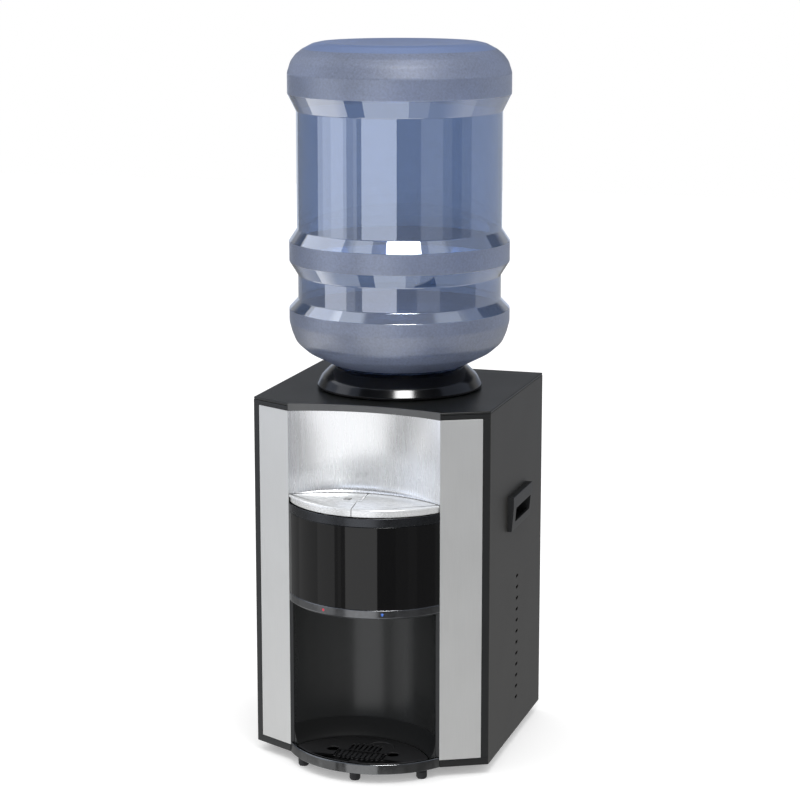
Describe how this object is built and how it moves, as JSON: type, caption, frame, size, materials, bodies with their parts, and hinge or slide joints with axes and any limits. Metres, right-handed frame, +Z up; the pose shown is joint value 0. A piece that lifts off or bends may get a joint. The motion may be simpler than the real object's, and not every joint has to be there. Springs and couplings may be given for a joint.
{
  "type": "countertop water dispenser",
  "caption": "Hot and cold countertop water dispenser with a bulging front, press paddles over a cup alcove, lift-out drip tray and an upturned blue bottle on a round collar.",
  "frame": {"origin": "middle of the footprint, on the surface that the dispenser stands on", "axes": "+Z up, +X to the user's right, +Y to the back; the paddles and the cup alcove face -Y"},
  "size_m": [0.312, 0.33, 0.87],
  "materials": {
    "gloss_black": "high gloss moulded plastic",
    "rubber_black": "moulded rubber",
    "side_paint": "satin powder coat with a fine orange peel",
    "satin_black": "satin moulded plastic",
    "bezel_black": "satin moulded plastic",
    "brushed_silver": "vertically brushed metal sheet",
    "satin_silver": "finely brushed metal sheet",
    "dark_grey": "satin moulded plastic",
    "band_grey": "metallic grey lacquer",
    "marker_red": "printed and clear coated",
    "marker_blue": "printed and clear coated",
    "grip_black": "satin moulded plastic",
    "white_plastic": "moulded plastic",
    "inner_steel": "drawn stainless steel",
    "foam": "expanded foam",
    "copper": "drawn copper tube",
    "compressor_paint": "black stove enamel",
    "tube_silicone": "food-grade silicone tube",
    "spout_black": "moulded plastic",
    "paddle_silver": "satin metallic finish",
    "tray_black": "satin moulded plastic",
    "bottle_blue": "clear blue polycarbonate with frosted bands",
    "cap_white": "moulded plastic",
    "switch_red": "moulded plastic",
    "switch_green": "moulded plastic"
  },
  "bodies": {
    "housing": {"base_pan": "gloss_black", "feet": "rubber_black", "left_side_panel": "side_paint", "right_side_panel": "side_paint", "top_cover": "satin_black", "back_panel": "side_paint", "front_frame": "bezel_black", "left_wing_panel": "brushed_silver", "right_wing_panel": "brushed_silver", "recess_panel": "satin_silver", "lip_ring": "dark_grey", "front_panel": "gloss_black", "accent_band": "band_grey", "hot_marker": "marker_red", "cold_marker": "marker_blue", "alcove_liner": "gloss_black", "left_handle_grip": "grip_black", "right_handle_grip": "grip_black", "bottle_collar": "gloss_black", "funnel": "white_plastic", "cold_tank": "inner_steel", "cold_tank_insulation": "foam", "evaporator_coil": "copper", "hot_tank": "inner_steel", "hot_tank_jacket": "foam", "band_heater": "inner_steel", "thermostats": "white_plastic", "compressor": "compressor_paint", "compressor_grommets": "rubber_black", "condenser": "compressor_paint", "filter_drier": "copper", "refrigerant_pipes": "copper", "hot_feed_tube": "tube_silicone", "hot_outlet_tube": "tube_silicone", "cold_outlet_tube": "tube_silicone", "drain_tube": "tube_silicone", "terminal_block": "white_plastic", "paddle_bracket": "dark_grey", "hinge_pins": "inner_steel", "hot_valve_body": "white_plastic", "cold_valve_body": "white_plastic", "spouts": "spout_black", "cord_gland": "spout_black", "switch_bezels": "spout_black", "housing_screws": "inner_steel"},
    "hot_paddle": {"hot_paddle": "paddle_silver"},
    "cold_paddle": {"cold_paddle": "paddle_silver"},
    "safety_slide": {"safety_slide": "paddle_silver"},
    "hot_plunger": {"hot_plunger": "white_plastic", "hot_valve_spring": "inner_steel"},
    "cold_plunger": {"cold_plunger": "white_plastic", "cold_valve_spring": "inner_steel"},
    "drip_tray": {"drip_tray": "tray_black"},
    "drip_grille": {"drip_grille": "tray_black"},
    "bottle": {"water_bottle": "bottle_blue", "bottle_cap": "cap_white"},
    "heater_switch": {"heater_switch": "switch_red"},
    "cooling_switch": {"cooling_switch": "switch_green"},
    "drain_cap": {"drain_cap": "cap_white"}
  },
  "joints": [
    {"name": "hot_paddle_press", "type": "hinge", "parent": "housing", "child": "hot_paddle", "pos_m": [-0.0245, -0.087, 0.329], "axis": [1, 0, 0], "range_deg": [0, 5], "stiffness_Nm_per_rad": 4, "springref_deg": -5.73},
    {"name": "cold_paddle_press", "type": "hinge", "parent": "housing", "child": "cold_paddle", "pos_m": [0.0245, -0.087, 0.329], "axis": [1, 0, 0], "range_deg": [0, 5], "stiffness_Nm_per_rad": 4, "springref_deg": -5.73},
    {"name": "safety_slide_shift", "type": "slide", "parent": "hot_paddle", "child": "safety_slide", "axis": [1, 0, 0], "range_m": [0, 0.007], "stiffness_N_per_m": 60, "springref_m": -0.005},
    {"name": "hot_plunger_stroke", "type": "slide", "parent": "housing", "child": "hot_plunger", "axis": [0, 0, -1], "range_m": [0, 0.0047], "deforming": ["hot_valve_spring"]},
    {"name": "cold_plunger_stroke", "type": "slide", "parent": "housing", "child": "cold_plunger", "axis": [0, 0, -1], "range_m": [0, 0.0047], "deforming": ["cold_valve_spring"]},
    {"name": "drip_tray_lift", "type": "slide", "parent": "housing", "child": "drip_tray", "axis": [0, 0, 1], "range_m": [0, 0.03]},
    {"name": "drip_grille_lift", "type": "slide", "parent": "drip_tray", "child": "drip_grille", "axis": [0, 0, 1], "range_m": [0, 0.02]},
    {"name": "bottle_lift", "type": "slide", "parent": "housing", "child": "bottle", "axis": [0, 0, 1], "range_m": [0, 0.12]},
    {"name": "heater_switch_rock", "type": "hinge", "parent": "housing", "child": "heater_switch", "pos_m": [-0.022, 0.154, 0.162], "axis": [1, 0, 0], "range_deg": [-16, 0]},
    {"name": "cooling_switch_rock", "type": "hinge", "parent": "housing", "child": "cooling_switch", "pos_m": [0.022, 0.154, 0.162], "axis": [1, 0, 0], "range_deg": [-16, 0]},
    {"name": "drain_cap_pull", "type": "slide", "parent": "housing", "child": "drain_cap", "axis": [0, 1, 0], "range_m": [0, 0.015]}
  ],
  "couplings": [
    {"joint": "hot_plunger_stroke", "follows": "hot_paddle_press", "m_per_rad": 0.052},
    {"joint": "cold_plunger_stroke", "follows": "cold_paddle_press", "m_per_rad": 0.052}
  ]
}
